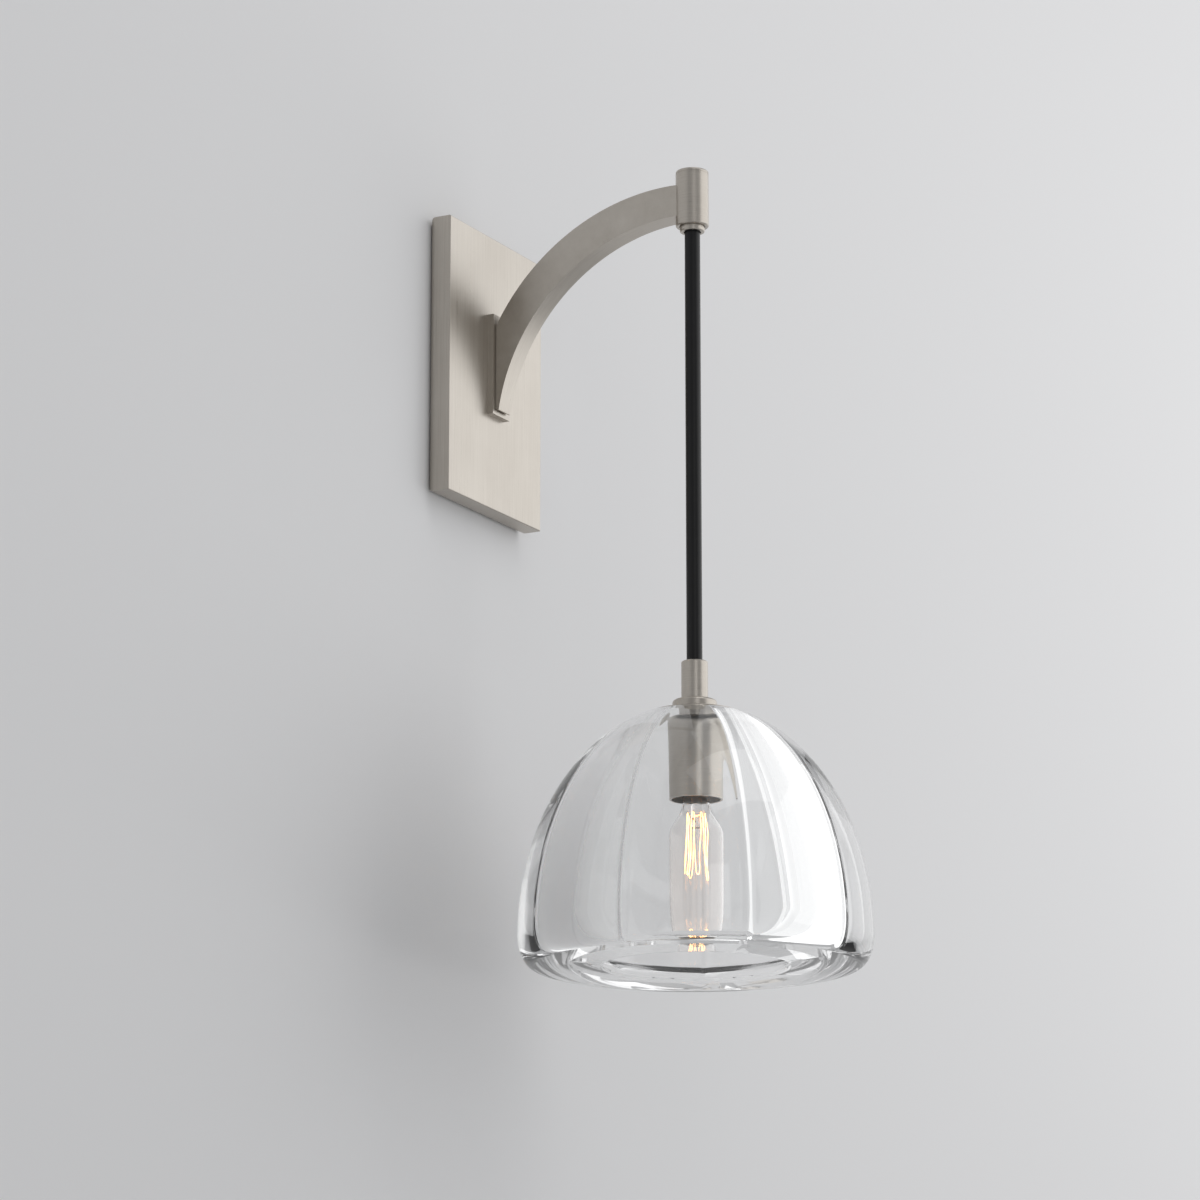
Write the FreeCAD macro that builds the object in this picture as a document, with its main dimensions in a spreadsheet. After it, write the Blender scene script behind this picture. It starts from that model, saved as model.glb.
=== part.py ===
"""Pendant wall sconce: a rectangular wall plate carries a curved arm, and a round cord hangs
from the hub at the arm's end with a thick clear glass dome and a tubular lamp.

Frame: millimetres, X along the wall, Y = 0 on the wall with the object at negative Y, Z up,
origin at the middle of the wall plate's back.  Every piece is a separate solid.
"""
import FreeCAD, Part
import math
import os
import re
import Sketcher
from FreeCAD import Rotation, Vector

os.makedirs("parts", exist_ok=True)
doc = FreeCAD.newDocument("pendant_wall_sconce")

# ---------------------------------------------------------------- driving dimensions
DIMENSIONS = {
    # wall plate: an open-backed pan with a rounded rear edge
    "plate_wide": 96.5, "plate_tall": 145.5, "plate_deep": 12.2,
    "plate_wall": 4.0, "plate_face": 2.6, "plate_rear_round": 3.2, "plate_front_bevel": 0.35,
    # mounting strap: slots for the wall box, bent tabs for the plate
    "strap_wide": 20.0, "strap_thick": 1.5, "strap_reach": 66.0, "strap_tab": 8.0,
    "slot_spacing": 83.3, "slot_long": 10.0, "slot_wide": 4.6,
    "lead_hole_radius": 5.5, "strap_hole_radius": 8.5, "passage_height": 8.0,
    "pin_radius": 2.0, "pin_long": 8.0, "pin_y": 5.6, "pin_sunk": 2.2,
    "tab_screw_radius": 1.5, "tab_screw_long": 7.4, "tab_screw_sunk": 0.4, "tab_screw_apart": 12.0,
    "ground_screw_z": -24.0, "ground_head_radius": 3.4, "ground_head_tall": 2.0,
    "ground_shank_radius": 1.85, "ground_slot_wide": 0.8, "ground_slot_deep": 0.8,
    "hole_play": 0.2, "thread_play": 0.03, "tab_hole_play": 0.3,
    # arm foot and arm
    "foot_wide": 17.5, "foot_tall": 53.5, "foot_thick": 3.3, "foot_rise": 3.3,
    "groove_deep": 1.0, "groove_inset": 0.7, "core_way": 3.6,
    "arm_wide": 12.0, "arm_wall": 1.6, "arm_bottom": -21.0,
    "upper_arc_y": -117.0, "upper_arc_z": -32.0, "upper_arc_radius": 116.0,
    "lower_arc_y": -120.5, "lower_arc_z": -37.0, "lower_arc_radius": 104.4,
    "arm_screw_radius": 2.0, "arm_screw_above": 17.0, "arm_screw_below": 4.8,
    "arm_screw_long": 10.0, "tap_below_screw": 0.4, "screw_head_radius": 3.6,
    "screw_head_tall": 2.2, "screw_boss_deep": 5.0, "screw_boss_half": 3.5,
    "arm_key_across": 2.5, "key_deep": 1.6,
    # hub, cap, collar and the held end of the cord
    "reach": 126.5, "hub_radius": 8.4, "hub_top": 91.8, "hub_bottom": 62.2, "hub_bore": 6.6,
    "hub_round": 0.9, "cap_thick": 1.8, "cap_spigot": 3.0, "cap_fit": 0.04,
    "collar_radius": 6.35, "collar_bottom": 59.3, "collar_bore": 4.45, "grip_tall": 5.0,
    "grip_bottom": 64.4, "lead_way_radius": 3.2, "edge_ease": 0.4, "cap_line": 0.15,
    "collar_round": 0.7, "grip_play": 0.02,
    # cord
    "cord_radius": 3.95, "bend_radius": 3.9, "bend_above_mouth": 0.3, "bend_gap_above": 1.2,
    "bend_gap_below": 0.6, "core_radius": 0.9, "lamp_core_radius": 0.8,
    # ferrule and shade cap
    "ferrule_top": -164.9, "ferrule_bottom": -184.6, "ferrule_radius": 6.65, "cord_tuck": 10.0,
    "ferrule_ease": 0.5, "ferrule_web": 1.0, "grub_radius": 1.22, "grub_below_top": 6.0,
    "grub_sunk": 0.3,
    "disc_radius": 11.1, "disc_bottom": -188.4, "disc_cove": 1.6, "brim_radius": 22.8,
    "brim_bottom": -192.0, "brim_thick": 0.7, "seal_thick": 0.6, "seal_inset": 3.0,
    # glass dome
    "glass_radius": 87.6, "glass_widest": -302.2, "glass_bottom": -318.2, "glass_crown": 115.0,
    "foot_ring_radius": 79.2, "glass_bore": 7.6, "glass_ceiling": -197.8,
    "mouth_radius": 46.4, "lip_height": -316.5,
    # the hollow: panels, each a piece of an ellipsoid whose middle lies behind the dome's axis
    "panel_count": 7, "panel_turn": 176.4, "panel_shift": 10.5, "panel_reach": 61.0,
    "panel_waist": -307.0, "panel_crown": 117.0,
    # glass clamp and socket cup
    "nipple_radius": 4.8, "nipple_bore": 3.4, "neck_radius": 6.95, "ring_play": 0.1,
    "washer_thick": 0.8,
    "gasket_radius": 9.8, "washer_radius": 9.0, "flange_radius": 8.6, "flange_thick": 1.2,
    "cup_radius": 12.1, "cup_top": -205.4,
    "cup_shoulder": 4.8, "cup_bottom": -241.8, "cup_wall": 1.0, "cup_floor": 1.4,
    "cup_flat": 0.6, "nut_across": 13.0, "nut_tall": 3.0, "nipple_below_nut": 1.0,
    # lampholder
    "holder_radius": 10.4, "holder_top": -217.5, "holder_bottom": -239.0, "shell_radius": 6.35,
    "shell_bore": 6.03, "shell_top": -222.2, "holder_cavity": 6.6, "bracket_thick": 0.8,
    "bracket_radius": 8.0, "leg_wide": 5.0, "cavity_above_shell": 2.4, "shell_eye": 3.6,
    "shell_thick": 0.3, "shell_seat": 1.0, "spring_wide": 2.4, "spring_long": 5.4,
    "spring_thick": 0.4, "button_radius": 1.1, "button_below": 1.1, "button_tall": 3.1,
    "terminal_off": 5.6, "terminal_radius": 1.8, "terminal_tall": 1.4,
    "terminal_slot_wide": 0.6, "terminal_slot_deep": 0.5,
    # lamp
    "lamp_cap_radius": 5.95, "lamp_cap_top": -223.5, "lamp_cap_bottom": -239.5,
    "lamp_cap_wall": 0.3, "lamp_cap_eye": 2.6, "lamp_cap_slope": 1.4, "bead_radius": 2.55,
    "bead_eye": 1.2, "bead_tall": 0.9, "bead_rise": 0.2, "solder_radius": 1.15,
    "solder_tall": 1.1, "glass_joint": 0.05,
    "lamp_neck_radius": 6.2, "lamp_neck_bottom": -244.6, "lamp_radius": 12.6,
    "lamp_shoulder": -257.5, "lamp_end": -309.6, "lamp_glass": 0.7,
    "stem_radius": 2.4, "stem_end": -254.0, "filament_circle": 6.2, "filament_wire": 0.25,
    "filament_top": -249.0, "filament_low": -276.0, "filament_legs": 6, "support_radius": 0.15,
    # cores between the held cord, the connectors and the lampholder
    "core_apart": 2.16, "core_depth": 5.2, "connector_x": 20.0, "connector_z": 30.0,
    "connector_radius": 3.4, "connector_tip": 2.2, "connector_tall": 14.0,
    "lamp_core_off": 1.6, "core_gap": 0.05,
}

sheet = doc.addObject("Spreadsheet::Sheet", "dims")
for row, (alias, number) in enumerate(DIMENSIONS.items(), start=1):
    sheet.set(f"A{row}", alias)
    sheet.set(f"B{row}", str(number))
    sheet.setAlias(f"B{row}", alias)
doc.recompute()

SUB_PARTS = []


def linked(expression):
    """Write a bare alias name as a reference to the sheet."""
    return re.sub(r"[a-z_][a-z_0-9]*", lambda word: "dims." + word.group(0)
                  if word.group(0) in DIMENSIONS else word.group(0), str(expression))


def value(expression):
    """The number that an expression of aliases stands for."""
    return float(sheet.evalExpression(linked(expression)))


def bind(thing, **properties):
    """Bind properties to expressions; x, y and z place the object."""
    places = {"x": "Placement.Base.x", "y": "Placement.Base.y", "z": "Placement.Base.z"}
    for name, expression in properties.items():
        thing.setExpression(places.get(name, name), linked(expression))
    return thing


def keep(thing, label):
    """Name a finished sub-part and put it on the list of those that are written."""
    thing.Label = label
    SUB_PARTS.append(thing)
    return thing


# ---------------------------------------------------------------- primitives and booleans
TO_FRONT = Rotation(Vector(1, 0, 0), 90)      # turns a cylinder's +Z to -Y, away from the wall


def cylinder(radius, height, x="0", y="0", z="0", turned=None):
    rod = doc.addObject("Part::Cylinder", "cylinder")
    if turned:
        rod.Placement.Rotation = turned
    return bind(rod, Radius=radius, Height=height, x=x, y=y, z=z)


def block(length, width, height, x, y, z):
    """A box given by its size and its lowest corner."""
    return bind(doc.addObject("Part::Box", "block"), Length=length, Width=width, Height=height,
                x=x, y=y, z=z)


def hexagon(across, height, x, y, z):
    nut = doc.addObject("Part::Prism", "hexagon")
    nut.Polygon = 6
    return bind(nut, Circumradius=f"({across}) / 1.7320508", Height=height, x=x, y=y, z=z)


def fuse(*parts):
    joined = doc.addObject("Part::MultiFuse", "joined")
    joined.Shapes = list(parts)
    return joined


def cut(base, *tools):
    left = doc.addObject("Part::Cut", "left")
    left.Base = base
    left.Tool = tools[0] if len(tools) == 1 else fuse(*tools)
    return left


def common(*parts):
    both = doc.addObject("Part::MultiCommon", "both")
    both.Shapes = list(parts)
    return both


def through_y(radius, near, far, x="0", z="0"):
    """A round hole's cutter that runs past both faces of a wall between two depths."""
    return cylinder(radius, f"({far}) - ({near}) + 2", x=x, y=f"1 - ({near})", z=z, turned=TO_FRONT)


def ball(radius):
    """A ball about the spot where the hanging cord bends."""
    return bind(doc.addObject("Part::Sphere", "ball"), Radius=radius, y="-reach", z="pivot_height")


def compound(*parts):
    group = doc.addObject("Part::Compound", "group")
    group.Links = list(parts)
    return group


# ---------------------------------------------------------------- sketched bodies
def new_body(name):
    return doc.addObject("PartDesign::Body", name)


def origin_plane(body, role):
    return next(f for f in body.Origin.OriginFeatures if f.Role == role)


def sketch_on(body, role, corners):
    """A closed outline of corners (x, y); a third entry gives the radius of the arc that leads
    to the next corner, positive where it turns left."""
    sketch = body.newObject("Sketcher::SketchObject", "outline")
    sketch.AttachmentSupport = [(origin_plane(body, role), "")]
    sketch.MapMode = "FlatFace"
    places = [Vector(value(c[0]), value(c[1]), 0) for c in corners]
    for index, corner in enumerate(corners):
        start, end = places[index], places[(index + 1) % len(corners)]
        if len(corner) == 2:
            sketch.addGeometry(Part.LineSegment(start, end))
            continue
        radius = value(corner[2])
        chord = end - start
        bulge = abs(radius) - math.sqrt(radius ** 2 - (chord.Length / 2) ** 2)
        side = Vector(chord.y, -chord.x, 0).normalize() * math.copysign(bulge, radius)
        sketch.addGeometry(Part.Arc(start, (start + end) / 2 + side, end))
    for index, corner in enumerate(corners):
        following = (index + 1) % len(corners)
        first = 2 if len(corner) == 3 and value(corner[2]) < 0 else 1
        last = 3 - first
        next_corner = corners[following]
        next_first = 2 if len(next_corner) == 3 and value(next_corner[2]) < 0 else 1
        if len(corner) == 2:
            first, last = 1, 2
        sketch.addConstraint(Sketcher.Constraint("Coincident", index, last, following, next_first))
        for kind, expression in (("DistanceX", corner[0]), ("DistanceY", corner[1])):
            number = sketch.addConstraint(
                Sketcher.Constraint(kind, -1, 1, index, first, value(expression)))
            sketch.setExpression(f"Constraints[{number}]", linked(expression))
        if len(corner) == 3:
            number = sketch.addConstraint(
                Sketcher.Constraint("Radius", index, abs(value(corner[2]))))
            sketch.setExpression(f"Constraints[{number}]", linked(f"abs({corner[2]})"))
    return sketch


def rectangle(body, role, left, bottom, right, top):
    return sketch_on(body, role, [(left, bottom), (right, bottom), (right, top), (left, top)])


def turned_body(name, corners, y="-reach"):
    """A body turned about a vertical axis from corners (radius, height)."""
    body = new_body(name)
    sketch = sketch_on(body, "XZ_Plane", corners)
    turning = body.newObject("PartDesign::Revolution", "turning")
    turning.Profile = sketch
    turning.ReferenceAxis = (sketch, ["V_Axis"])
    turning.Angle = 360
    body.Tip = turning
    bind(body, y=y)
    return body


def pad_along_y(body, sketch, near, far):
    """Pad a sketch of the XZ plane between two distances in front of the wall."""
    pad = body.newObject("PartDesign::Pad", "pad")
    pad.Profile = sketch
    sketch.setExpression("AttachmentOffset.Base.z", linked(near))
    pad.setExpression("Length", linked(f"({far}) - ({near})"))
    return pad


def pocket_along_y(body, sketch, near, far):
    """Cut a sketch of the XZ plane between two distances in front of the wall."""
    pocket = body.newObject("PartDesign::Pocket", "pocket")
    pocket.Profile = sketch
    pocket.Reversed = True
    sketch.setExpression("AttachmentOffset.Base.z", linked(near))
    pocket.setExpression("Length", linked(f"({far}) - ({near})"))
    return pocket


def must_cut(before, feature):
    """Stop where a cut has removed nothing."""
    doc.recompute()
    if feature.Shape.Volume > before - 1.0:
        raise RuntimeError(f"{feature.Name} cuts nothing")


# ---------------------------------------------------------------- wires and cords
def rounded_route(points):
    """Straight runs joined by tangent arcs, each as large as its two runs allow."""
    edges, radii = [], []
    start = points[0]
    for before, corner, after in zip(points, points[1:], points[2:]):
        run_in, run_out = corner - before, after - corner
        turn = run_in.getAngle(run_out)
        trim = 0.45 * min(run_in.Length, run_out.Length)
        radii.append(trim / math.tan(turn / 2))
        enter = corner - Vector(run_in).normalize() * trim
        leave = corner + Vector(run_out).normalize() * trim
        to_middle = (enter + leave) / 2 - corner
        centre = corner + Vector(to_middle).normalize() * math.hypot(trim, radii[-1])
        middle = centre + (corner - centre).normalize() * radii[-1]
        edges.append(Part.LineSegment(start, enter).toShape())
        edges.append(Part.Arc(enter, middle, leave).toShape())
        start = leave
    edges.append(Part.LineSegment(start, points[-1]).toShape())
    return Part.Wire(edges), radii


def tube_along(label, points, radius):
    """A round wire along a route, its volume compared with section times length."""
    spine, radii = rounded_route(points)
    heading = points[1] - points[0]
    section = Part.Wire(Part.Circle(points[0], heading, radius).toShape())
    solid = Part.Wire(spine).makePipeShell([section], True, True)
    expected = math.pi * radius ** 2 * spine.Length
    if abs(solid.Volume / expected - 1) > 0.01:
        raise RuntimeError(f"{label} has the wrong volume")
    print(label, "length", round(spine.Length, 1), "least radius", round(min(radii), 1))
    wire = doc.addObject("Part::Feature", label)
    wire.Shape = solid
    return keep(wire, label)


# ---------------------------------------------------------------- wall plate and strap
def make_backplate():
    body = new_body("backplate_pan")
    half_wide, half_tall = "plate_wide / 2", "plate_tall / 2"
    outer = rectangle(body, "XZ_Plane", f"-{half_wide}", f"-{half_tall}", half_wide, half_tall)
    solid = pad_along_y(body, outer, "0", "plate_deep")
    doc.recompute()
    rear_edges = [f"Edge{n}" for n, edge in enumerate(body.Shape.Edges, start=1)
                  if abs(edge.BoundBox.YMin) < 1e-6 and abs(edge.BoundBox.YMax) < 1e-6]
    round_off = body.newObject("PartDesign::Fillet", "rear_round")
    round_off.Base = (solid, rear_edges)
    round_off.setExpression("Radius", linked("plate_rear_round"))
    body.Tip = round_off
    doc.recompute()
    front_edges = [f"Edge{n}" for n, edge in enumerate(body.Shape.Edges, start=1)
                   if edge.BoundBox.YMax < -value("plate_deep") + 1e-6]
    bevel = body.newObject("PartDesign::Chamfer", "front_bevel")
    bevel.Base = (round_off, front_edges)
    bevel.setExpression("Size", linked("plate_front_bevel"))
    body.Tip = bevel
    doc.recompute()
    before = body.Shape.Volume
    hollow = pocket_along_y(
        body, rectangle(body, "XZ_Plane", f"plate_wall - {half_wide}", f"plate_wall - {half_tall}",
                        f"{half_wide} - plate_wall", f"{half_tall} - plate_wall"),
        "0", "plate_deep - plate_face")
    must_cut(before, hollow)
    body.Tip = hollow
    lead_hole = through_y("lead_hole_radius", "0", "plate_deep", z="passage_height")
    screw_holes = [through_y("arm_screw_radius + hole_play", "0", "plate_deep", z=height)
                   for height in arm_screw_heights()]
    tab_holes = [cylinder("tab_screw_radius + thread_play", "plate_wall + 2",
                          x=f"{side} * tab_screw_apart / 2", y="-pin_y",
                          z="plate_tall / 2 - plate_wall - 1") for side in (-1, 1)]
    pin_hole = cylinder("pin_radius", "pin_sunk", y="-pin_y",
                        z="plate_wall - plate_tall / 2 - pin_sunk")
    keep(cut(body, lead_hole, *screw_holes, *tab_holes, pin_hole), "backplate")


def arm_screw_heights():
    return "foot_rise + arm_screw_above", "foot_rise - arm_screw_below"


def make_mounting_strap():
    """A flat strap on the wall with a bent tab at each end."""
    flat = block("strap_wide", "strap_thick", "2 * strap_reach",
                 "-strap_wide / 2", "-strap_thick", "-strap_reach")
    tabs = [block("strap_wide", "strap_tab", "strap_thick",
                  "-strap_wide / 2", "-strap_tab", height)
            for height in ("strap_reach - strap_thick", "-strap_reach")]
    slots = []
    for end in (-1, 1):
        middle = f"{end} * slot_spacing / 2"
        slots.append(block("slot_wide", "strap_thick + 2", "slot_long - slot_wide", "-slot_wide / 2",
                           "-strap_thick - 1", f"{middle} - (slot_long - slot_wide) / 2"))
        slots += [through_y("slot_wide / 2", "0", "strap_thick",
                            z=f"{middle} + {side} * (slot_long - slot_wide) / 2")
                  for side in (-1, 1)]
    lead_hole = through_y("strap_hole_radius", "0", "strap_thick")
    ground_hole = through_y("ground_shank_radius + thread_play", "0", "strap_thick",
                            z="ground_screw_z")
    pin_hole = cylinder("pin_radius + tab_hole_play", "strap_thick + 2", y="-pin_y",
                        z="-strap_reach - 1")
    dimples = [cylinder("tab_screw_radius + tab_hole_play", "strap_thick + 2",
                        x=f"{side} * tab_screw_apart / 2", y="-pin_y",
                        z="strap_reach - strap_thick - 1") for side in (-1, 1)]
    keep(cut(fuse(flat, *tabs), *slots, lead_hole, ground_hole, pin_hole, *dimples),
         "mounting_strap")


def make_plate_fixings():
    keep(cylinder("pin_radius", "pin_long", y="-pin_y",
                  z="plate_wall - plate_tall / 2 - pin_sunk"), "locating_pin")
    screws = []
    screw_end = "plate_tall / 2 - tab_screw_sunk"
    for side in (-1, 1):
        place = dict(x=f"{side} * tab_screw_apart / 2", y="-pin_y")
        shank = cylinder("tab_screw_radius", "tab_screw_long", z=f"{screw_end} - tab_screw_long",
                         **place)
        key = hexagon("tab_screw_radius", "key_deep + 1", z=f"{screw_end} - key_deep", **place)
        screws.append(cut(shank, key))
    keep(compound(*screws), "retaining_screws")
    head = cylinder("ground_head_radius", "ground_head_tall", y="-strap_thick",
                    z="ground_screw_z", turned=TO_FRONT)
    shank = cylinder("ground_shank_radius", "strap_thick", z="ground_screw_z", turned=TO_FRONT)
    slot = block("2 * ground_head_radius + 2", "ground_slot_deep + 1", "ground_slot_wide",
                 "-ground_head_radius - 1", "-strap_thick - ground_head_tall - 1",
                 "ground_screw_z - ground_slot_wide / 2")
    keep(cut(fuse(head, shank), slot), "ground_screw")


# ---------------------------------------------------------------- arm
def make_arm_foot():
    half = "foot_wide / 2"
    flange = block("foot_wide", "foot_thick", "foot_tall", f"-{half}",
                   "-plate_deep - foot_thick", "foot_rise - foot_tall / 2")
    root_tall = "arm_root_top - arm_bottom"
    seat = block("arm_wide - 2 * groove_inset", "groove_deep", f"{root_tall} - 2 * groove_inset",
                 "groove_inset - arm_wide / 2", "-plate_deep - foot_thick - groove_deep",
                 "arm_bottom + groove_inset")
    lead_hole = through_y("core_way", "plate_deep", "arm_root_y", z="passage_height")
    holes = [through_y("arm_screw_radius + hole_play", "plate_deep", "arm_root_y", z=height)
             for height in arm_screw_heights()]
    keep(cut(fuse(flange, seat), lead_hole, *holes), "arm_foot")


def arm_outline(inset):
    """The arm's side view, as corners (y, z), drawn in by inset all round."""
    root = "-(arm_root_y)"
    end = "-(reach - 2)"
    upper = f"(upper_arc_radius - {inset})"
    lower = f"(lower_arc_radius + {inset})"
    start = root if inset == "0" else f"{root} + 1"
    low_end = f"lower_arc_z + sqrt({lower} ^ 2 - ({end} - lower_arc_y) ^ 2)"
    high_end = f"upper_arc_z + sqrt({upper} ^ 2 - ({end} - upper_arc_y) ^ 2)"
    high_root = f"upper_arc_z + sqrt({upper} ^ 2 - ({start} - upper_arc_y) ^ 2)"
    tip = f"lower_arc_y + sqrt({lower} ^ 2 - (arm_bottom + {inset} - lower_arc_z) ^ 2)"
    return [(start, f"arm_bottom + {inset}"), (start, high_root, upper), (end, high_end),
            (end, low_end, f"-{lower}"), (tip, f"arm_bottom + {inset}")]


def slab_of(name, corners, half_width):
    """A body of even thickness across the wall from an outline of the YZ plane."""
    body = new_body(name)
    sketch = sketch_on(body, "YZ_Plane", corners)
    pad = body.newObject("PartDesign::Pad", "pad")
    pad.Profile = sketch
    pad.Midplane = True
    pad.setExpression("Length", linked(f"2 * ({half_width})"))
    body.Tip = pad
    return body


def make_arm():
    outside = slab_of("arm_outside", arm_outline("0"), "arm_wide / 2")
    channel = slab_of("arm_channel", arm_outline("arm_wall"), "arm_wide / 2 - arm_wall")
    root_blocks = [block("arm_wide - 2 * arm_wall", "screw_boss_deep", "2 * screw_boss_half",
                         "arm_wall - arm_wide / 2", "-arm_root_y - screw_boss_deep",
                         f"{height} - screw_boss_half") for height in arm_screw_heights()]
    tap_end = "plate_deep - plate_face + arm_screw_long + tap_below_screw"
    taps = [cylinder("arm_screw_radius + thread_play", f"{tap_end} - arm_root_y + 1",
                     y="1 - arm_root_y", z=height, turned=TO_FRONT)
            for height in arm_screw_heights()]
    hub_room = cylinder("hub_radius + 0.01", "hub_top - arm_bottom", y="-reach", z="arm_bottom")
    keep(cut(fuse(cut(outside, channel), common(outside, fuse(*root_blocks))), *taps, hub_room),
         "arm")
    screws = []
    for height in arm_screw_heights():
        head_y = "-(plate_deep - plate_face)"
        head = cylinder("screw_head_radius", "screw_head_tall", y=f"{head_y} + screw_head_tall",
                        z=height, turned=TO_FRONT)
        shank = cylinder("arm_screw_radius", "arm_screw_long", y=head_y, z=height, turned=TO_FRONT)
        key = hexagon("arm_key_across", "key_deep + 1", "0",
                      f"{head_y} + screw_head_tall + 1", height)
        key.Placement.Rotation = TO_FRONT
        screws.append(cut(fuse(head, shank), key))
    keep(compound(*screws), "arm_screws")


# ---------------------------------------------------------------- hub and the cord's held end
def make_hub():
    tube = turned_body("hub_tube", [
        ("hub_bore", "hub_bottom"), ("hub_radius - edge_ease", "hub_bottom"),
        ("hub_radius", "hub_bottom + edge_ease"), ("hub_radius", "hub_top - cap_thick"),
        ("hub_bore", "hub_top - cap_thick")])
    lead_way = cylinder("lead_way_radius", "hub_radius + 2", y="-reach", z="lead_height",
                        turned=Rotation(Vector(1, 0, 0), -90))
    keep(cut(tube, lead_way), "hub")
    cap = turned_body("hub_cap", [
        ("0", "hub_top - cap_thick - cap_spigot"),
        ("hub_bore - cap_fit", "hub_top - cap_thick - cap_spigot"),
        ("hub_bore - cap_fit", "hub_top - cap_thick"),
        ("hub_radius - cap_line", "hub_top - cap_thick"),
        ("hub_radius - cap_line", "hub_top - cap_thick + cap_line"),
        ("hub_radius", "hub_top - cap_thick + cap_line"),
        ("hub_radius", "hub_top - hub_round", "hub_round"), ("hub_radius - hub_round", "hub_top"),
        ("0", "hub_top")])
    keep(cap, "hub_cap")
    collar = turned_body("collar", [
        ("collar_bore", "collar_bottom"),
        ("collar_radius - collar_round", "collar_bottom", "collar_round"),
        ("collar_radius", "collar_bottom + collar_round"), ("collar_radius", "grip_bottom"),
        ("collar_bore", "grip_bottom")])
    keep(collar, "collar")
    grip = turned_body("cord_grip", [
        ("cord_radius + grip_play", "grip_bottom"), ("hub_bore - cap_fit", "grip_bottom"),
        ("hub_bore - cap_fit", "grip_bottom + grip_tall"),
        ("cord_radius + grip_play", "grip_bottom + grip_tall")])
    keep(grip, "cord_grip")
    held = cylinder("cord_radius", "held_cord_top - pivot_height - bend_gap_above", y="-reach",
                    z="pivot_height + bend_gap_above")
    keep(cut(held, ball("bend_radius + core_gap")), "held_cord")
    keep(ball("bend_radius"), "cord_bend")


# ---------------------------------------------------------------- pendant
def make_cord():
    rod = cylinder("cord_radius", "pivot_height - bend_gap_below - ferrule_top + cord_tuck",
                   y="-reach", z="ferrule_top - cord_tuck")
    keep(cut(rod, ball("bend_radius + core_gap")), "pendant_cord")


def make_ferrule_and_cap():
    """The sleeve that grips the cord's lower end, its grub screw and the cap on the glass."""
    web_top = "ferrule_top - cord_tuck"
    ferrule = turned_body("ferrule_turning", [
        ("cord_radius + grip_play", "ferrule_top"), ("ferrule_radius - ferrule_ease", "ferrule_top"),
        ("ferrule_radius", "ferrule_top - ferrule_ease"), ("ferrule_radius", "ferrule_bottom"),
        ("nipple_radius + thread_play", "ferrule_bottom"),
        ("nipple_radius + thread_play", f"{web_top} - ferrule_web"),
        ("nipple_bore", f"{web_top} - ferrule_web"), ("nipple_bore", web_top),
        ("cord_radius + grip_play", web_top)])
    sideways = Rotation(Vector(0, 1, 0), 90)
    grub_z = "ferrule_top - grub_below_top"
    tap = cylinder("grub_radius + thread_play", "ferrule_radius + 1", y="-reach", z=grub_z,
                   turned=sideways)
    keep(cut(ferrule, tap), "ferrule")
    screw = cylinder("grub_radius", "ferrule_radius - cord_radius - grub_sunk - grip_play",
                     x="cord_radius + grip_play", y="-reach", z=grub_z, turned=sideways)
    keep(screw, "ferrule_screw")
    cap = turned_body("shade_cap", [
        ("nipple_radius + thread_play", "ferrule_bottom"),
        ("disc_radius - disc_cove", "ferrule_bottom", "-disc_cove"),
        ("disc_radius", "ferrule_bottom - disc_cove"), ("disc_radius", "disc_bottom"),
        ("brim_radius", "brim_bottom + brim_thick"), ("brim_radius", "brim_bottom"),
        ("nipple_radius + thread_play", "brim_bottom")])
    keep(cap, "shade_cap")


def make_glass_seals():
    inner = "neck_radius + ring_play"
    rings = [("cap_seal", "brim_radius - seal_inset", "brim_bottom - seal_thick", "brim_bottom"),
             ("shade_gasket", "gasket_radius", "glass_ceiling - washer_thick", "glass_ceiling"),
             ("clamp_washer", "washer_radius", "flange_top", "glass_ceiling - washer_thick")]
    for label, outer, low, high in rings:
        keep(turned_body(label, [(inner, low), (outer, low), (outer, high), (inner, high)]), label)


def dome_of(reach, crown, centre, x="0", y="-reach"):
    """An ellipsoid of round level sections about a vertical axis."""
    return bind(doc.addObject("Part::Ellipsoid", "dome"), Radius1=crown, Radius2=reach,
                Radius3=reach, Angle1="-90", x=x, y=y, z=centre)


def make_hollow():
    """The panelled hollow: above its waist the space that all ellipsoids share, below it that of
    the cones which close in on the mouth."""
    vaults, skirts = [], []
    for panel in range(int(value("panel_count"))):
        bearing = f"(panel_turn + {panel + 0.5} * 360 / panel_count) * 1deg"
        place = dict(x=f"-panel_shift * cos({bearing})",
                     y=f"-reach - panel_shift * sin({bearing})")
        vaults.append(dome_of("panel_reach + panel_shift", "panel_crown", "panel_waist", **place))
        skirts.append(bind(doc.addObject("Part::Cone", "skirt"), z="lip_height",
                           Radius1="mouth_radius + panel_shift",
                           Radius2="panel_reach + panel_shift",
                           Height="panel_waist - lip_height", **place))
    room = cylinder("glass_radius", "glass_ceiling - panel_waist", y="-reach", z="panel_waist")
    mouth = cylinder("mouth_radius", "lip_height - glass_bottom + 2", y="-reach",
                     z="glass_bottom - 1")
    return common(room, *vaults), common(*skirts), mouth


def make_shade():
    """A thick clear dome: half an ellipsoid outside, a panelled hollow with a round mouth inside."""
    crown_top = "brim_bottom - seal_thick"
    dome = common(dome_of("glass_radius", "glass_crown", "glass_widest"),
                  cylinder("glass_radius + 1", f"{crown_top} - glass_widest", y="-reach",
                           z="glass_widest"))
    foot = turned_body("shade_foot", [
        ("0", "glass_bottom"), ("foot_ring_radius", "glass_bottom", "foot_round"),
        ("glass_radius", "glass_widest"), ("0", "glass_widest")])
    bore = cylinder("glass_bore", "brim_bottom - glass_ceiling + 2", y="-reach",
                    z="glass_ceiling - 1")
    keep(cut(fuse(dome, foot), bore, *make_hollow()), "shade")


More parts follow.
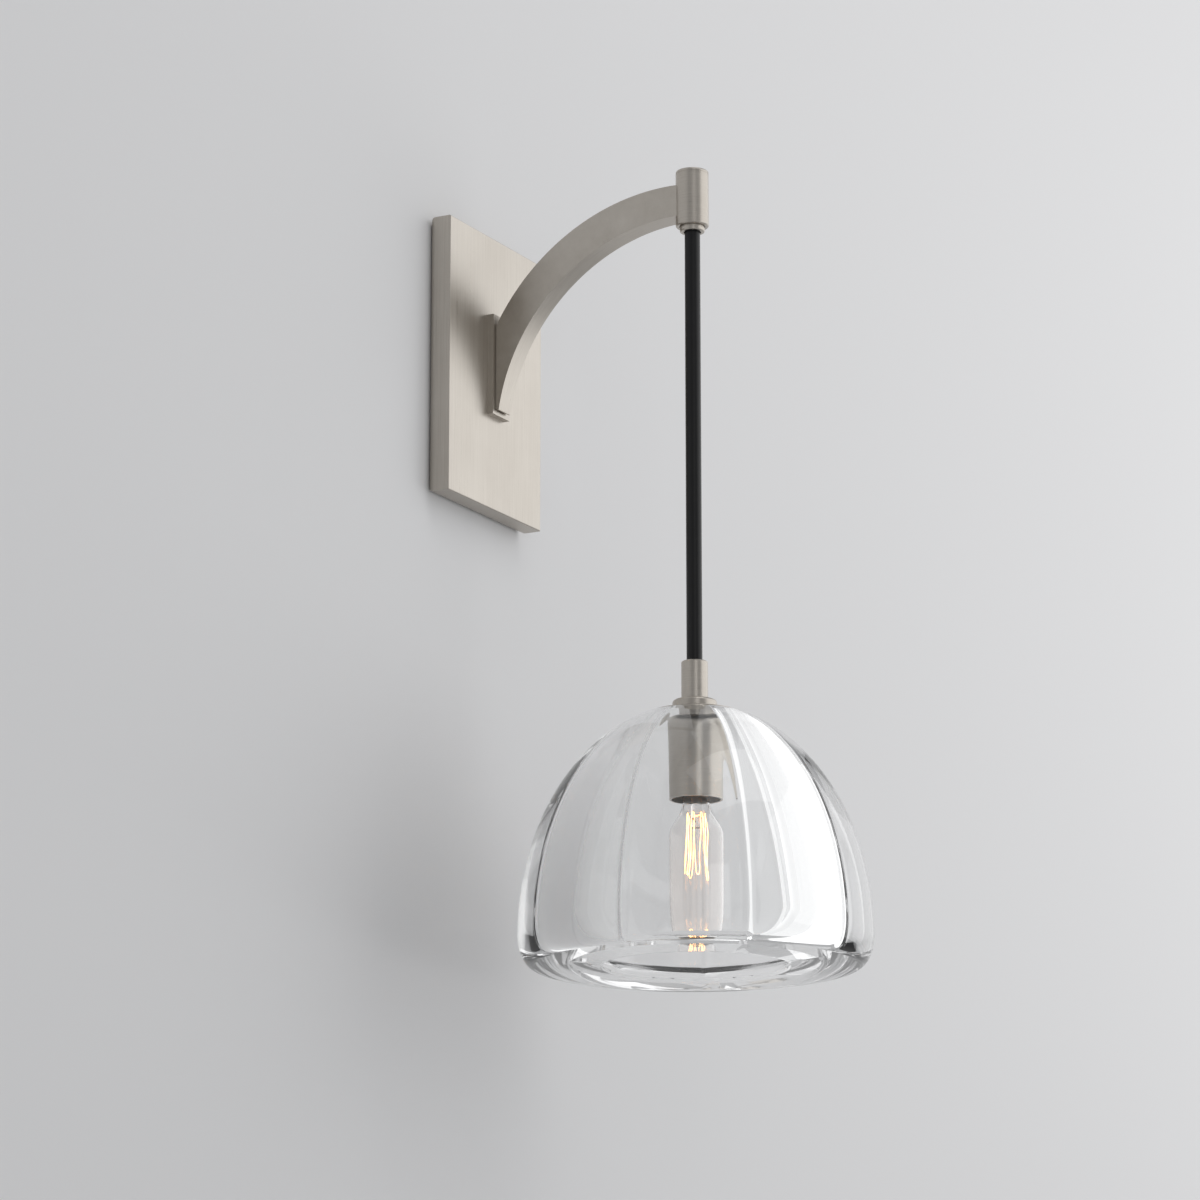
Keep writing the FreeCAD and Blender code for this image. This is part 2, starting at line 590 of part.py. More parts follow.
def make_cup():
    """The nipple, its nut and the turned cup that hides the lampholder; a flange on the cup's neck
    presses the washer to the glass."""
    nipple_top = "ferrule_top - cord_tuck - ferrule_web"
    keep(cut(cylinder("nipple_radius", f"{nipple_top} - nipple_end", y="-reach", z="nipple_end"),
             cylinder("nipple_bore", f"{nipple_top} - nipple_end + 2", y="-reach",
                      z="nipple_end - 1")), "threaded_nipple")
    floor_low = "cup_top - cup_floor"
    cup = turned_body("socket_cup", [
        ("nipple_radius + thread_play", "brim_bottom"), ("neck_radius", "brim_bottom"),
        ("neck_radius", "flange_top"), ("flange_radius", "flange_top"),
        ("flange_radius", "flange_top - flange_thick"),
        ("neck_radius", "flange_top - flange_thick"),
        ("neck_radius", "cup_top"), ("neck_radius + cup_flat", "cup_top", "-cup_shoulder"),
        ("cup_radius", "cup_top - cup_shoulder"), ("cup_radius", "cup_bottom"),
        ("cup_radius - cup_wall", "cup_bottom"),
        ("cup_radius - cup_wall", "cup_top - cup_shoulder"),
        ("neck_radius + cup_flat", floor_low), ("nipple_radius + thread_play", floor_low)])
    keep(cup, "socket_cup")
    nut = cut(hexagon("nut_across", "nut_tall", "0", "-reach", f"{floor_low} - nut_tall"),
              cylinder("nipple_radius + thread_play", "nut_tall + 2", y="-reach",
                       z=f"{floor_low} - nut_tall - 1"))
    keep(nut, "cup_nut")


def make_lampholder():
    """The holder in the cup: bracket, body, screw shell, centre contact and terminals."""
    bracket_top = "cup_top - cup_floor - nut_tall"
    disc = cylinder("bracket_radius", "bracket_thick", y="-reach",
                    z=f"{bracket_top} - bracket_thick")
    legs = [block("bracket_thick", "leg_wide", f"{bracket_top} - holder_top",
                  f"{side} * (bracket_radius - bracket_thick) - bracket_thick / 2",
                  "-reach - leg_wide / 2", "holder_top") for side in (-1, 1)]
    passage = cylinder("nipple_radius + thread_play", "bracket_thick + 2", y="-reach",
                       z=f"{bracket_top} - bracket_thick - 1")
    keep(cut(fuse(disc, *legs), passage), "lampholder_bracket")
    cavity_top = "shell_top + cavity_above_shell"
    holder = turned_body("lampholder_body", [
        ("0", "holder_top"), ("holder_radius", "holder_top"), ("holder_radius", "holder_bottom"),
        ("holder_cavity", "holder_bottom"), ("holder_cavity", cavity_top), ("0", cavity_top)])
    keep(holder, "lampholder_body")
    shell_lid = "shell_top + shell_seat"
    shell = turned_body("screw_shell", [
        ("shell_bore", "holder_bottom + shell_seat"), ("shell_radius", "holder_bottom + shell_seat"),
        ("shell_radius", shell_lid), ("shell_eye", shell_lid),
        ("shell_eye", f"{shell_lid} - shell_thick"), ("shell_bore", f"{shell_lid} - shell_thick")])
    keep(shell, "screw_shell")
    spring = block("spring_wide", "spring_long", "spring_thick", "-spring_wide / 2",
                   "-reach - spring_long / 2", f"{cavity_top} - spring_thick")
    button = cylinder("button_radius", "button_tall", y="-reach", z="shell_top - button_below")
    keep(fuse(spring, button), "centre_contact")
    screws = []
    for side in (-1, 1):
        middle = f"{side} * terminal_off - reach"
        head = cylinder("terminal_radius", "terminal_tall", y=middle, z="holder_top")
        slot = block("2 * terminal_radius + 2", "terminal_slot_wide", "terminal_slot_deep + 1",
                     "-terminal_radius - 1", f"{middle} - terminal_slot_wide / 2",
                     "holder_top + terminal_tall - terminal_slot_deep")
        screws.append(cut(head, slot))
    keep(compound(*screws), "terminal_screws")


def make_lamp():
    """The lamp: screw cap, insulating bead, solder dot, glass and stem."""
    inner = "lamp_cap_radius - lamp_cap_wall"
    keep(turned_body("lamp_cap", [
        ("lamp_cap_eye", "lamp_cap_top"), ("lamp_cap_radius", "lamp_cap_top - lamp_cap_slope"),
        ("lamp_cap_radius", "lamp_cap_bottom"), (inner, "lamp_cap_bottom"),
        (inner, "lamp_cap_top - lamp_cap_slope - lamp_cap_wall / 2"),
        ("lamp_cap_eye", "lamp_cap_top - lamp_cap_wall")]), "lamp_cap")
    keep(turned_body("lamp_insulator", [
        ("bead_eye", "lamp_cap_top + bead_rise"), ("bead_radius", "lamp_cap_top"),
        ("bead_radius", "lamp_cap_top - bead_tall"), ("bead_eye", "lamp_cap_top - bead_tall")]),
        "lamp_insulator")
    keep(cylinder("solder_radius", "solder_tall", y="-reach", z="lamp_cap_top - bead_tall"),
         "lamp_contact")
    glass_start = "lamp_cap_bottom - glass_joint"
    glass = turned_body("lamp_tube", [
        ("lamp_neck_radius - lamp_glass", glass_start), ("lamp_neck_radius", glass_start),
        ("lamp_neck_radius", "lamp_neck_bottom"), ("lamp_radius", "lamp_shoulder"),
        ("lamp_radius", "lamp_end + lamp_radius", "-lamp_radius"), ("0", "lamp_end"),
        ("0", "lamp_end + lamp_glass", "lamp_radius - lamp_glass"),
        ("lamp_radius - lamp_glass", "lamp_end + lamp_radius"),
        ("lamp_radius - lamp_glass", "lamp_shoulder"),
        ("lamp_neck_radius - lamp_glass", "lamp_neck_bottom")])
    keep(glass, "lamp_envelope")
    stem_top = "lamp_cap_bottom - bead_rise"
    keep(cylinder("stem_radius", f"{stem_top} - stem_end", y="-reach", z="stem_end"), "lamp_stem")


def make_filament():
    """A zigzag of fine wire round the stem, with its support wires."""
    legs = int(value("filament_legs"))
    radius, circle = value("filament_wire"), value("filament_circle")
    heights = value("filament_top"), value("filament_low")
    axis = Vector(0, -value("reach"), 0)
    points = []
    for step in range(2 * legs):
        angle = math.pi * step / legs
        points.append(axis + Vector(circle * math.cos(angle), circle * math.sin(angle),
                                    heights[step % 2]))
    rods = [Part.makeCylinder(radius, (b - a).Length, a, b - a) for a, b in zip(points, points[1:])]
    knot_radius = 1.05 * radius
    knots = [Part.makeSphere(knot_radius, point) for point in points]
    filament = doc.addObject("Part::Feature", "filament")
    filament.Shape = rods[0].fuse(rods[1:] + knots).removeSplitter()
    keep(filament, "filament")
    support_radius = value("support_radius")
    arms = []
    stem_end = axis + Vector(0, 0, value("stem_end + stem_radius"))
    for point in points[::2]:
        outward = (Vector(point.x, point.y, 0) - axis).normalize()
        start = stem_end + outward * value("stem_radius + grip_play")
        tip = point + Vector(0, 0, knot_radius + support_radius) - outward * 0.2
        arms.append(Part.makeCylinder(support_radius, (tip - start).Length, start, tip - start))
    supports = doc.addObject("Part::Feature", "filament_supports")
    supports.Shape = Part.makeCompound(arms)
    keep(supports, "filament_supports")


# ---------------------------------------------------------------- wires
def arm_middle(degrees, x):
    """A point of the arm's middle line, at an angle above the level about the arcs' centre."""
    middle = value("(upper_arc_radius + lower_arc_radius) / 2")
    angle = math.radians(degrees)
    return Vector(x, value("(upper_arc_y + lower_arc_y) / 2") + middle * math.cos(angle),
                  value("(upper_arc_z + lower_arc_z) / 2") + middle * math.sin(angle))


ARM_STATIONS = (80, 63, 47, 34)               # degrees along the arm where the cores turn


def make_plate_wires():
    """Cores run from the held cord through the arm: two to connectors, one to the ground screw."""
    axis_y, lead, gap = -value("reach"), value("lead_height"), value("core_gap")
    start = value("held_cord_top") + gap
    passage, depth = value("passage_height"), -value("core_depth")
    connector_x, connector_z = value("connector_x"), value("connector_z")
    connectors = []
    for label, side in (("live_core", -1), ("ground_core", 0), ("neutral_core", 1)):
        x = side * value("core_apart")
        points = [Vector(x, axis_y, start), Vector(x, axis_y, lead)]
        points += [arm_middle(degrees, x) for degrees in ARM_STATIONS]
        points += [Vector(x, -23.0, passage + 2.0), Vector(x, -9.0, passage)]
        if side:
            points += [Vector(x + side * 7, depth, passage + 9.0),
                       Vector(side * connector_x, depth, connector_z - 9.0),
                       Vector(side * connector_x, depth, connector_z)]
            cone = bind(doc.addObject("Part::Cone", "connector"), Radius1="connector_radius",
                        Radius2="connector_tip", Height="connector_tall",
                        x=f"{side} * connector_x", y="-core_depth", z="connector_z + core_gap")
            connectors.append(cone)
        else:
            screw_top = value("ground_screw_z + ground_head_radius") + gap
            points += [Vector(x, depth + 0.7, passage - 8.0), Vector(x, -2.6, screw_top)]
        tube_along(label, points, value("core_radius"))
    keep(compound(*connectors), "wire_connectors")


def make_lamp_wires():
    """Two cores run down the nipple to the lampholder's terminals."""
    axis_y, gap = -value("reach"), value("core_gap")
    top, nipple_end = value("ferrule_top - cord_tuck"), value("nipple_end")
    terminal_top = value("holder_top + terminal_tall")
    for label, side in (("lamp_live_core", -1), ("lamp_neutral_core", 1)):
        inside = axis_y + side * value("lamp_core_off")
        outside = axis_y + side * value("terminal_off")
        points = [Vector(0, inside, top - gap), Vector(0, inside, nipple_end - 0.8),
                  Vector(0, outside, terminal_top + 2.2), Vector(0, outside, terminal_top + gap)]
        tube_along(label, points, value("lamp_core_radius"))


# ---------------------------------------------------------------- derived sizes and assembly
DERIVED = {
    "arm_root_y": "plate_deep + foot_thick + groove_deep",
    "arm_root_top": "upper_arc_z + sqrt(upper_arc_radius ^ 2"
                    " - (plate_deep + foot_thick + groove_deep + upper_arc_y) ^ 2)",
    "lead_height": "(upper_arc_z + upper_arc_radius + lower_arc_z + lower_arc_radius) / 2",
    "pivot_height": "collar_bottom + bend_above_mouth",
    "held_cord_top": "grip_bottom + grip_tall + 0.6",
    "foot_round": "((glass_radius - foot_ring_radius) ^ 2 + (glass_widest - glass_bottom) ^ 2)"
                  " / (2 * (glass_radius - foot_ring_radius))",
    "flange_top": "glass_ceiling - 2 * washer_thick",
    "nipple_end": "cup_top - cup_floor - nut_tall - nipple_below_nut",
}
for row, (alias, formula) in enumerate(DERIVED.items(), start=len(DIMENSIONS) + 2):
    DIMENSIONS[alias] = None
    sheet.set(f"A{row}", alias)
    sheet.set(f"B{row}", "=" + formula)
    sheet.setAlias(f"B{row}", alias)
doc.recompute()

make_backplate()
make_mounting_strap()
make_plate_fixings()
make_arm_foot()
make_arm()
make_hub()
make_cord()
make_ferrule_and_cap()
make_glass_seals()
make_shade()
make_cup()
make_lampholder()
make_lamp()
make_filament()
make_plate_wires()
make_lamp_wires()
doc.recompute()

for item in doc.Objects:
    if "Invalid" in item.State or "Error" in item.State:
        raise RuntimeError(f"{item.Name} ({item.Label}) is {item.State}")
for item in SUB_PARTS:
    if item.Shape.isNull() or not item.Shape.isValid():
        raise RuntimeError(f"{item.Label} has no valid shape")
for item in SUB_PARTS:
    item.Shape.exportStep(f"parts/{item.Label}.step")
    print(f"{item.Label}: {len(item.Shape.Solids)} solid, {item.Shape.Volume / 1000:.3f} cm3")
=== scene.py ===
"""Looks of the pendant wall sconce: finishes, the thick glass dome, the lit lamp and the cord.

Metres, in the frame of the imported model: X along the wall, Y = 0 on the wall, Z up.
"""
import math
import random

import bmesh
import bpy
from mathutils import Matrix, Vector


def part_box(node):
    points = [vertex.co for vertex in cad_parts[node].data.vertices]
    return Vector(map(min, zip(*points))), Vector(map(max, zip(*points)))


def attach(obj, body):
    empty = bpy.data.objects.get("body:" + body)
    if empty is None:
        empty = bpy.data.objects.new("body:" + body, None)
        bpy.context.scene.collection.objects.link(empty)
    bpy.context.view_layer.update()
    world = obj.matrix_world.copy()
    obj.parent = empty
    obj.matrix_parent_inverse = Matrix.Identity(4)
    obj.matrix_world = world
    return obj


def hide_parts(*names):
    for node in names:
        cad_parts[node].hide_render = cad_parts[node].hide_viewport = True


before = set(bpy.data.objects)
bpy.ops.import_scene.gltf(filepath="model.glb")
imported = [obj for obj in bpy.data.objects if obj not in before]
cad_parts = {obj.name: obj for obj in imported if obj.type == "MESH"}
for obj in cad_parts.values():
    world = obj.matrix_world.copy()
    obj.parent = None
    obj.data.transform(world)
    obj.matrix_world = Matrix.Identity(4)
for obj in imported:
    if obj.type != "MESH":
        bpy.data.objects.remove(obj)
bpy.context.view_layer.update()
random.seed(7)
scene = bpy.context.scene

# ------------------------------------------------------------------ places read from the frame
MM = 0.001
AXIS = (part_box("hub")[0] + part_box("hub")[1]) / 2         # the pendant's vertical axis
AXIS_Y = AXIS.y
SHADE_LOW, SHADE_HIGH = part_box("shade")
GLASS_BOTTOM, GLASS_TOP = SHADE_LOW.z, SHADE_HIGH.z
GLASS_RADIUS = (SHADE_HIGH.x - SHADE_LOW.x) / 2
MOUTH_OF_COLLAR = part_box("collar")[0].z
FERRULE_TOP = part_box("ferrule")[1].z

# ------------------------------------------------------------------ camera
CAMERA_AZIMUTH, CAMERA_ELEVATION = -62.57, -14.0         # degrees
CAMERA_DISTANCE = 2.270
CAMERA_PIXELS = 4520.56                                  # focal length in pixels of a 1200 frame
CAMERA_SENSOR = 36.0                                     # millimetres
CAMERA_CLIP_END = 50.0
FRAME_SIDE = 1200
TARGET = Vector((0.0, -0.1012, -0.1216))
TARGET_PIXEL = (649.2, 583.1)                            # where the photograph shows TARGET


def direction_to_camera(azimuth, elevation):
    a, e = math.radians(azimuth), math.radians(elevation)
    return Vector((math.sin(a) * math.cos(e), -math.cos(a) * math.cos(e), math.sin(e)))


def make_camera():
    back = direction_to_camera(CAMERA_AZIMUTH, CAMERA_ELEVATION)
    right = Vector((0, 0, 1)).cross(back).normalized()
    up = back.cross(right)
    metres_per_pixel = CAMERA_DISTANCE / CAMERA_PIXELS
    place = TARGET + back * CAMERA_DISTANCE
    aim = (TARGET - right * (TARGET_PIXEL[0] - FRAME_SIDE / 2) * metres_per_pixel
           + up * (TARGET_PIXEL[1] - FRAME_SIDE / 2) * metres_per_pixel)
    data = bpy.data.cameras.new("camera")
    data.sensor_width = CAMERA_SENSOR
    data.lens = CAMERA_PIXELS / FRAME_SIDE * CAMERA_SENSOR
    data.clip_end = CAMERA_CLIP_END
    camera = bpy.data.objects.new("camera", data)
    scene.collection.objects.link(camera)
    camera.location = place
    camera.rotation_euler = (place - aim).to_track_quat("Z", "Y").to_euler()
    scene.camera = camera


make_camera()

# ------------------------------------------------------------------ material helpers
EVEN = (1, 1, 1)                                         # noise that is drawn out along no axis
RAMP_ENDS = (0.3, 0.7)                                   # the noise lies mostly between these
MIX_A, MIX_B, MIX_RESULT = 6, 7, 2                       # a Mix node's sockets for colours


def new_material(name, **inputs):
    """A Principled material; inputs are socket names with spaces as underscores."""
    material = bpy.data.materials.new(name)
    material.use_nodes = True
    shader = shader_of(material)
    for socket, setting in inputs.items():
        shader.inputs[socket.replace("_", " ")].default_value = setting
    return material


def node(material, kind, links=(), **settings):
    """Add a node; settings are its properties or, where it has none such, its input sockets."""
    tree = material.node_tree
    made = tree.nodes.new(kind)
    for name, setting in settings.items():
        if hasattr(made, name):
            setattr(made, name, setting)
        else:
            made.inputs[name.replace("_", " ")].default_value = setting
    for source, socket in links:
        tree.links.new(source, made.inputs[socket])
    return made


def shader_of(material):
    return material.node_tree.nodes["Principled BSDF"]


def link(material, source, socket):
    material.node_tree.links.new(source, shader_of(material).inputs[socket])


def stretched_noise(material, stretch, scale, detail=4.0, roughness=0.55):
    """Noise in the object's own metres, its grains drawn out by small entries of stretch."""
    place = node(material, "ShaderNodeTexCoord")
    mapped = node(material, "ShaderNodeMapping", [(place.outputs["Object"], "Vector")],
                  Scale=stretch)
    return node(material, "ShaderNodeTexNoise", [(mapped.outputs["Vector"], "Vector")],
                Scale=scale, Detail=detail, Roughness=roughness)


def ramp(material, source, low, high):
    """A colour ramp between two greys or colours."""
    made = node(material, "ShaderNodeValToRGB", [(source, "Fac")])
    for end, position, colour in zip(made.color_ramp.elements, RAMP_ENDS, (low, high)):
        end.position = position
        end.color = colour if hasattr(colour, "__len__") else (colour, colour, colour, 1)
    return made


def bump(material, height, distance):
    made = node(material, "ShaderNodeBump", [(height, "Height")], Strength=1.0,
                Distance=distance)
    link(material, made.outputs["Normal"], "Normal")


NICKEL_DARK = (0.43, 0.395, 0.35, 1)
NICKEL_LIGHT = (0.56, 0.525, 0.475, 1)
NICKEL_ROUGH = (0.27, 0.40)
NICKEL_CLOUDS = 22.0                                     # the clouding's noise scale
CLOUDING_SHARE = 0.35                                    # of clouding in brushing and clouding
NICKEL_BUMP = 0.02 * MM


def brushed_nickel(name, stretch):
    """Satin metal with fine brushing along the axis that stretch draws out."""
    material = new_material(name, Metallic=1.0)
    grain = stretched_noise(material, stretch, 1.0, detail=5.0, roughness=0.7)
    clouds = stretched_noise(material, EVEN, NICKEL_CLOUDS, detail=3.0)
    brushing = ramp(material, grain.outputs["Fac"], NICKEL_DARK, NICKEL_LIGHT)
    clouding = ramp(material, clouds.outputs["Fac"], NICKEL_DARK, NICKEL_LIGHT)
    mixed = node(material, "ShaderNodeMix",
                 [(brushing.outputs["Color"], MIX_A), (clouding.outputs["Color"], MIX_B)],
                 data_type="RGBA", Factor=CLOUDING_SHARE)
    link(material, mixed.outputs[MIX_RESULT], "Base Color")
    link(material, ramp(material, grain.outputs["Fac"], *NICKEL_ROUGH).outputs["Color"],
         "Roughness")
    bump(material, grain.outputs["Fac"], NICKEL_BUMP)
    return material


CLOUD_DARKER, CLOUD_LIGHTER = 0.82, 1.12                 # against a finish's own colour
FINE_SCALE = 12                                          # surface texture against clouding


def mottled(name, colour, rough, scale, bump_distance, **inputs):
    """A plain finish with slight clouding, uneven gloss and a fine surface texture."""
    dark = tuple(CLOUD_DARKER * c for c in colour) + (1,)
    light = tuple(min(1.0, CLOUD_LIGHTER * c) for c in colour) + (1,)
    material = new_material(name, **inputs)
    clouds = stretched_noise(material, EVEN, scale)
    fine = stretched_noise(material, EVEN, scale * FINE_SCALE)
    link(material, ramp(material, clouds.outputs["Fac"], dark, light).outputs["Color"],
         "Base Color")
    link(material, ramp(material, fine.outputs["Fac"], *rough).outputs["Color"], "Roughness")
    bump(material, fine.outputs["Fac"], bump_distance)
    return material


GLASS_CLOUDS = 14.0                                      # noise scale of the glass's tint


def clear_glass(name, ior, tint):
    """Polished glass whose tint comes and goes faintly, as in cast or blown glass."""
    material = new_material(name, Roughness=0.0, IOR=ior, Transmission_Weight=1.0)
    faint = stretched_noise(material, EVEN, GLASS_CLOUDS, detail=1.0)
    link(material, ramp(material, faint.outputs["Fac"], tint, (1, 1, 1, 1)).outputs["Color"],
         "Base Color")
    return material


WIRE_DIM, WIRE_BRIGHT = (1.0, 0.38, 0.09, 1), (1.0, 0.58, 0.24, 1)
WIRE_NOISE = 300.0
WIRE_GLOW = 6.0


def glowing_wire():
    material = bpy.data.materials.new("filament_wire")
    material.use_nodes = True
    tree = material.node_tree
    tree.nodes.clear()
    place = node(material, "ShaderNodeTexCoord")
    noise = node(material, "ShaderNodeTexNoise", [(place.outputs["Object"], "Vector")],
                 Scale=WIRE_NOISE, Detail=2.0)
    heat = ramp(material, noise.outputs["Fac"], WIRE_DIM, WIRE_BRIGHT)
    glow = node(material, "ShaderNodeEmission", [(heat.outputs["Color"], "Color")],
                Strength=WIRE_GLOW)
    node(material, "ShaderNodeOutputMaterial", [(glow.outputs["Emission"], "Surface")])
    return material


# ------------------------------------------------------------------ the finishes
UPRIGHT_GRAIN = (1500, 1500, 22)
TURNED_GRAIN = (90, 90, 2600)
ARM_GRAIN = (1500, 60, 60)

nickel_upright = brushed_nickel("nickel_upright", UPRIGHT_GRAIN)
nickel_turned = brushed_nickel("nickel_turned", TURNED_GRAIN)
nickel_arm = brushed_nickel("nickel_arm", ARM_GRAIN)
# each: colour, least and most roughness, noise scale, depth of the surface texture
zinc = mottled("zinc_steel", (0.58, 0.59, 0.60), (0.30, 0.48), 90, 0.00001, Metallic=1.0)
green_screw = mottled("green_lacquer", (0.05, 0.30, 0.11), (0.25, 0.40), 120, 0.000005)
brass = mottled("brass", (0.78, 0.56, 0.26), (0.20, 0.38), 120, 0.000005, Metallic=1.0)
jacket = mottled("cord_jacket", (0.006, 0.006, 0.0065), (0.30, 0.42), 160, 0.000006,
                 Specular_IOR_Level=0.32)
clear_seal = mottled("clear_seal", (0.75, 0.75, 0.75), (0.25, 0.35), 160, 0.000004,
                     Transmission_Weight=0.8)
black_rubber = mottled("black_rubber", (0.018, 0.018, 0.018), (0.45, 0.65), 200, 0.00001)
holder_plastic = mottled("holder_plastic", (0.035, 0.03, 0.026), (0.35, 0.55), 160, 0.00001)
black_glass = mottled("black_glass", (0.02, 0.014, 0.018), (0.05, 0.12), 160, 0.000002)
solder = mottled("solder", (0.62, 0.62, 0.62), (0.30, 0.45), 400, 0.00002, Metallic=1.0)
support_wire = mottled("support_wire", (0.48, 0.44, 0.40), (0.25, 0.40), 400, 0.000002,
                       Metallic=1.0)
black_core = mottled("black_core", (0.02, 0.02, 0.02), (0.30, 0.45), 200, 0.000004)
white_core = mottled("white_core", (0.80, 0.80, 0.78), (0.30, 0.45), 200, 0.000004)
green_core = mottled("green_core", (0.06, 0.30, 0.10), (0.30, 0.45), 200, 0.000004)
connector_plastic = mottled("connector_plastic", (0.80, 0.28, 0.05), (0.22, 0.35), 160, 0.00001)
crystal = clear_glass("crystal", 1.52, (0.985, 0.992, 0.99, 1))
lamp_glass = clear_glass("lamp_glass", 1.48, (0.98, 0.94, 0.915, 1))
filament_glow = glowing_wire()

FINISH_OF_NODE = {
    "backplate": nickel_upright, "arm_foot": nickel_upright, "arm": nickel_arm,
    "hub": nickel_turned, "hub_cap": nickel_turned, "collar": nickel_turned,
    "ferrule": nickel_turned, "shade_cap": nickel_turned, "socket_cup": nickel_turned,
    "ferrule_screw": zinc, "mounting_strap": zinc, "locating_pin": zinc,
    "retaining_screws": zinc, "arm_screws": zinc, "clamp_washer": zinc, "threaded_nipple": zinc,
    "cup_nut": zinc, "lampholder_bracket": zinc, "ground_screw": green_screw,
    "cord_grip": brass, "held_cord": jacket, "cord_bend": jacket, "pendant_cord": jacket,
    "cap_seal": clear_seal, "shade_gasket": black_rubber, "shade": crystal,
    "lampholder_body": holder_plastic, "screw_shell": brass, "centre_contact": brass,
    "terminal_screws": brass, "lamp_cap": brass, "lamp_insulator": black_glass,
    "lamp_contact": solder, "lamp_envelope": lamp_glass, "lamp_stem": lamp_glass,
    "filament": filament_glow, "filament_supports": support_wire, "live_core": black_core,
    "neutral_core": white_core, "ground_core": green_core,
    "wire_connectors": connector_plastic, "lamp_live_core": black_core,
    "lamp_neutral_core": white_core,
}


def dress_nodes():
    for name, finish in FINISH_OF_NODE.items():
        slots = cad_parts[name].data.materials
        slots.clear()
        slots.append(finish)


dress_nodes()

# ------------------------------------------------------------------ mesh helpers
WELD = 1e-7                                              # points nearer than this become one
SPLINE_ORDER = 3
SPLINE_STEPS = 12                                        # between two points of a route


def mesh_piece(name, corners, faces, material, body, sharp):
    """A smooth piece whose edges stay crisp where they bend by more than sharp degrees."""
    mesh = bpy.data.meshes.new(name)
    mesh.from_pydata(corners, [], faces)
    edit = bmesh.new()
    edit.from_mesh(mesh)
    bmesh.ops.remove_doubles(edit, verts=edit.verts, dist=WELD)
    bmesh.ops.recalc_face_normals(edit, faces=edit.faces)
    edit.to_mesh(mesh)
    edit.free()
    mesh.polygons.foreach_set("use_smooth", [True] * len(mesh.polygons))
    mesh.set_sharp_from_angle(angle=math.radians(sharp))
    mesh.materials.append(material)
    piece = bpy.data.objects.new(name, mesh)
    scene.collection.objects.link(piece)
    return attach(piece, body)


def rows_to_faces(rows, around, closed):
    """Quads between rows of points that go round an axis."""
    faces = []
    for row in range(rows if closed else rows - 1):
        below, above = row * around, (row + 1) % rows * around
        for step in range(around):
            ahead = (step + 1) % around
            faces.append((below + step, below + ahead, above + ahead, above + step))
    return faces


def turned_piece(name, outline, material, body, around, sharp, closed=True):
    """A piece turned about the pendant's axis from an outline of (radius, height)."""
    corners = []
    for radius, height in outline:
        for step in range(around):
            angle = 2 * math.pi * step / around
            corners.append((radius * math.cos(angle), AXIS_Y + radius * math.sin(angle), height))
    faces = rows_to_faces(len(outline), around, closed)
    return mesh_piece(name, corners, faces, material, body, sharp)


def arc_points(centre, radii, start, end, steps):
    """Points of an ellipse arc in the outline's plane, angles in degrees from +radius."""
    points = []
    for step in range(steps + 1):
        angle = math.radians(start + (end - start) * step / steps)
        points.append((centre[0] + radii[0] * math.cos(angle),
                       centre[1] + radii[1] * math.sin(angle)))
    return points


def curve_piece(name, routes, radius, material, body, sides):
    """Round wires or a cord: one NURBS spline for each route."""
    data = bpy.data.curves.new(name, "CURVE")
    data.dimensions = "3D"
    data.bevel_depth = radius
    data.bevel_resolution = sides
    data.use_fill_caps = True
    data.resolution_u = SPLINE_STEPS
    for route in routes:
        spline = data.splines.new("NURBS")
        spline.points.add(len(route) - 1)
        for point, place in zip(spline.points, route):
            point.co = (*place, 1.0)
        spline.order_u = SPLINE_ORDER
        spline.use_endpoint_u = True
    data.materials.append(material)
    piece = bpy.data.objects.new(name, data)
    scene.collection.objects.link(piece)
    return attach(piece, body)


# ------------------------------------------------------------------ cord
CORD_RADIUS = 3.95 * MM
CORD_START = MOUTH_OF_COLLAR                             # it leaves the collar here
CORD_END = FERRULE_TOP - 9.8 * MM                        # clamped in the ferrule
CORD_RUNS = 5
CORD_SIDES = 12
BEND_POLE = 89.5                                         # degrees; the ball's mesh ends here
BEND_STEPS = 24
BEND_AROUND = 48
BEND_SHARP = 30


def make_cord():
    """The taut cord: the weight of the glass draws it straight."""
    heights = [CORD_START + (CORD_END - CORD_START) * step / CORD_RUNS
               for step in range(CORD_RUNS + 1)]
    cord = curve_piece("hanging_cord", [[(AXIS.x, AXIS_Y, height) for height in heights]],
                       CORD_RADIUS, jacket, "pendant", CORD_SIDES)
    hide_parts("pendant_cord")


def make_bend():
    """The ball of cord in the collar's mouth, on which the pendant swings."""
    bend_low, bend_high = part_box("cord_bend")
    middle = (bend_low.z + bend_high.z) / 2
    reach = (bend_high.z - bend_low.z) / 2
    outline = arc_points((0, middle), (reach, reach), -BEND_POLE, BEND_POLE, BEND_STEPS)
    bend = turned_piece("cord_flex", outline, jacket, "cord_turn", BEND_AROUND,
                        BEND_SHARP, closed=False)
    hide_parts("cord_bend")


make_cord()
make_bend()

# ------------------------------------------------------------------ glass dome
# the outside: a flat top, a dome down to the widest place, a rounded foot
TOP_RADII = (14 * MM, 20 * MM)
WIDEST = -302.2 * MM
CROWN = 115.0 * MM
FOOT_RADIUS = 79.2 * MM
UNDERSIDE_RADII = (70 * MM, 60 * MM, 52 * MM)
DOME_STEPS, FOOT_STEPS = 64, 16
# the round openings: the mouth below and the nipple's bore above
MOUTH = 46.4 * MM
EDGE_ROUND = 0.5 * MM
EDGE_STEPS = 4
LIP = -316.5 * MM                                        # where the panels begin
LIP_BAND = 0.1 * MM                                      # the round mouth ends this far below LIP
BORE = 7.6 * MM
BORE_EDGE = 0.4 * MM
